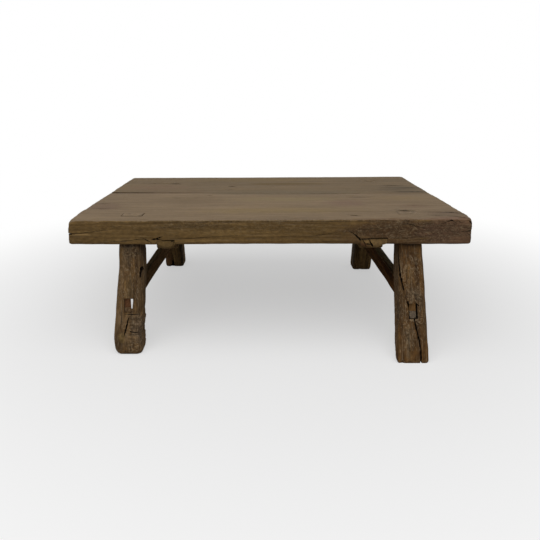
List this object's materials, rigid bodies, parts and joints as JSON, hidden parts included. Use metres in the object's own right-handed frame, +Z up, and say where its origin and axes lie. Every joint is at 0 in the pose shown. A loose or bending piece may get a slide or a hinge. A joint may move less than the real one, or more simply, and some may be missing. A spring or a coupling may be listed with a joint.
{
  "type": "kang table",
  "caption": "Low rustic table with a thick two-board top on splayed wedged legs, tied by stretchers and sliding battens.",
  "frame": {"origin": "on the floor under the middle of the table", "axes": "+Z up, +X along the length of the top to the right, the front edge of the top faces -Y"},
  "size_m": [0.96, 0.7229, 0.33],
  "materials": {
    "top_timber": "worn old elm, dry matt, grey-brown on top and darker olive-brown at the edges",
    "leg_timber": "weathered hewn elm, dark brown with grey grain",
    "batten_timber": "old elm, dark and matt, with a lighter worn nose",
    "stretcher_timber": "old elm, near black-brown and matt",
    "wedge_timber": "end grain and split wood, matt brown"
  },
  "bodies": {
    "root": {"front_board": "top_timber", "rear_board": "top_timber", "seam_pins": "wedge_timber", "batten_left": "batten_timber", "batten_right": "batten_timber", "leg_front_left": "leg_timber", "leg_front_right": "leg_timber", "leg_rear_left": "leg_timber", "leg_rear_right": "leg_timber", "head_wedge_front_left": "wedge_timber", "head_wedge_front_right": "wedge_timber", "head_wedge_rear_left": "wedge_timber", "head_wedge_rear_right": "wedge_timber", "stretcher_left": "stretcher_timber", "stretcher_right": "stretcher_timber", "tenon_wedge_front_left": "wedge_timber", "tenon_wedge_front_right": "wedge_timber", "tenon_wedge_rear_left": "wedge_timber", "tenon_wedge_rear_right": "wedge_timber"}
  },
  "joints": []
}
